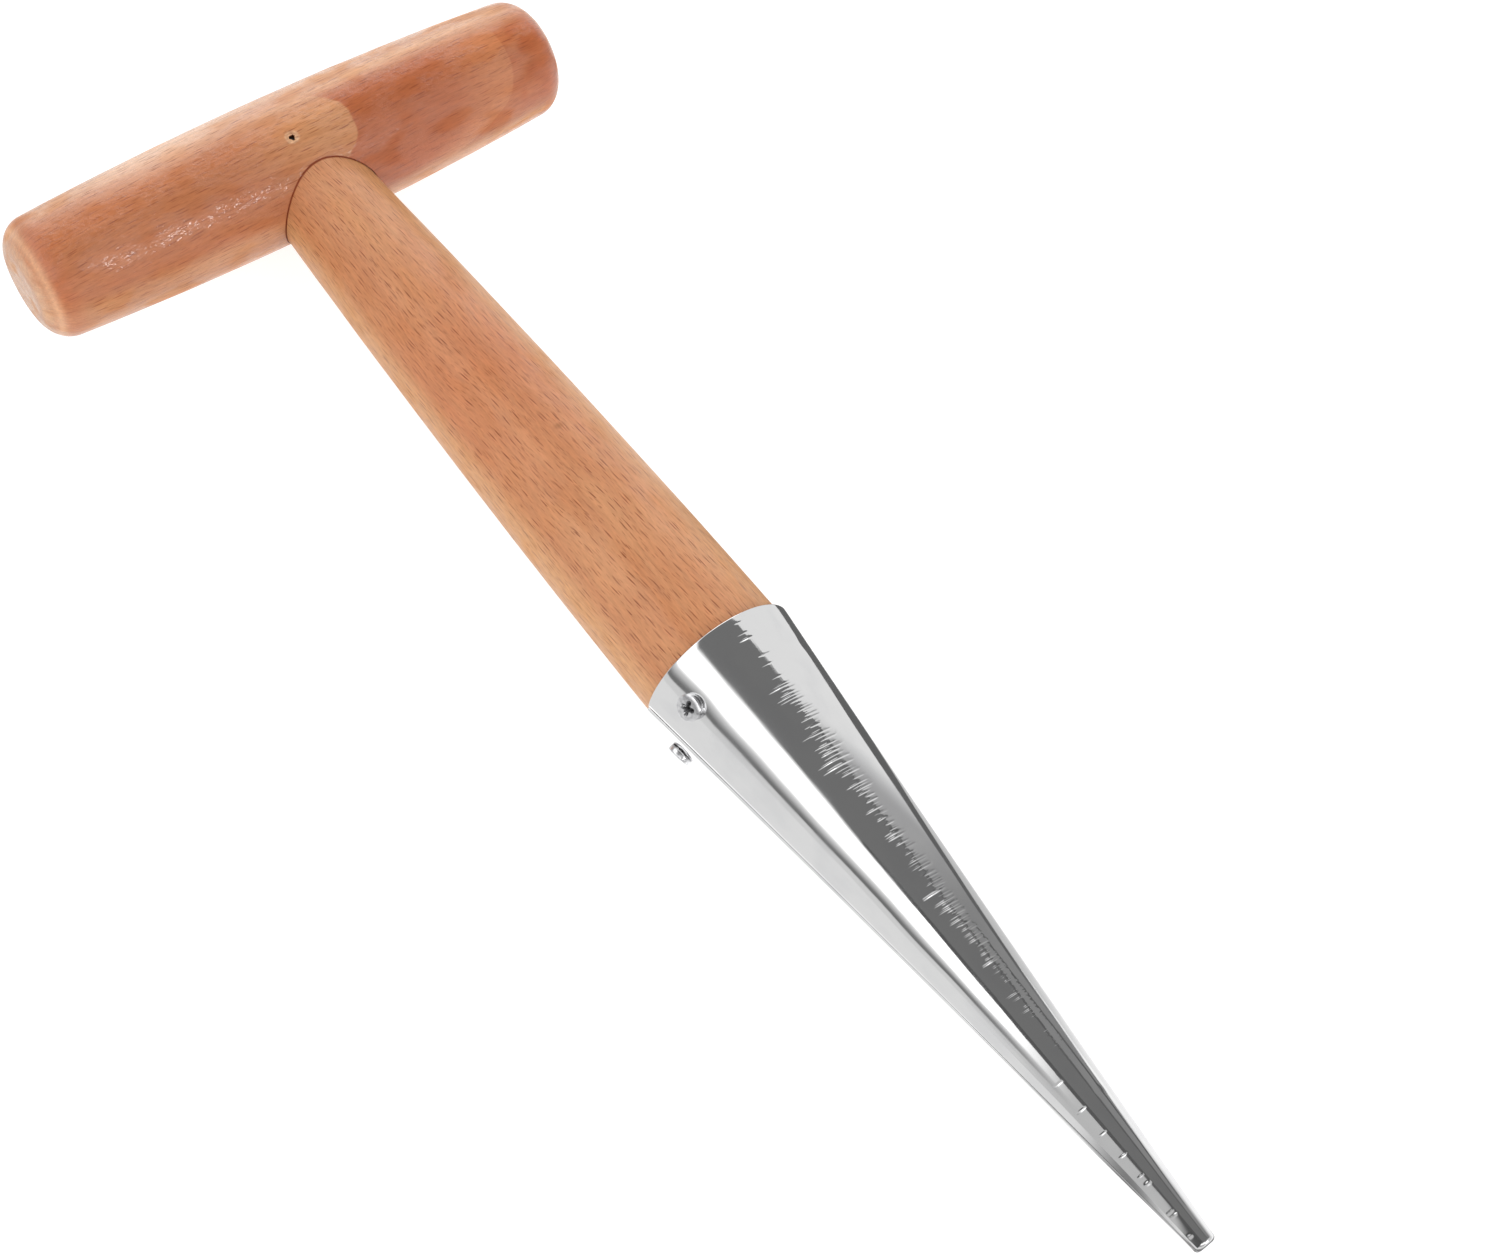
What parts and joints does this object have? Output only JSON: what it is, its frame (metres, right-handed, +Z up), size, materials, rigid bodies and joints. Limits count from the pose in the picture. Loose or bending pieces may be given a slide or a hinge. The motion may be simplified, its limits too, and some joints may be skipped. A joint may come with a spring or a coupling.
{
  "type": "garden dibber",
  "caption": "T-handled hand dibber: a turned beech crossbar and shaft with a rolled steel cone for making planting holes.",
  "frame": {"origin": "middle of the footprint of the dibber lying on its side, at the height of the surface it lies on", "axes": "+X runs from the crossbar towards the cone's tip, +Y along the crossbar towards the end away from the open seam, +Z up"},
  "size_m": [0.292, 0.1226, 0.0324],
  "materials": {
    "beech_shaft": "satin clear lacquer over turned beech with short dark flecks along the grain",
    "beech_crossbar": "satin clear lacquer over turned beech, redder and more blotched, with paler end grain",
    "polished_steel": "bright polished sheet steel with short transverse forming marks along one line",
    "zinc_fasteners": "bright zinc plating"
  },
  "bodies": {
    "root": {"crossbar": "beech_crossbar", "shaft": "beech_shaft", "crossbar_brad": "zinc_fasteners", "cone_sheath": "polished_steel", "sheath_screw_upper": "zinc_fasteners", "sheath_screw_lower": "zinc_fasteners"}
  },
  "joints": []
}
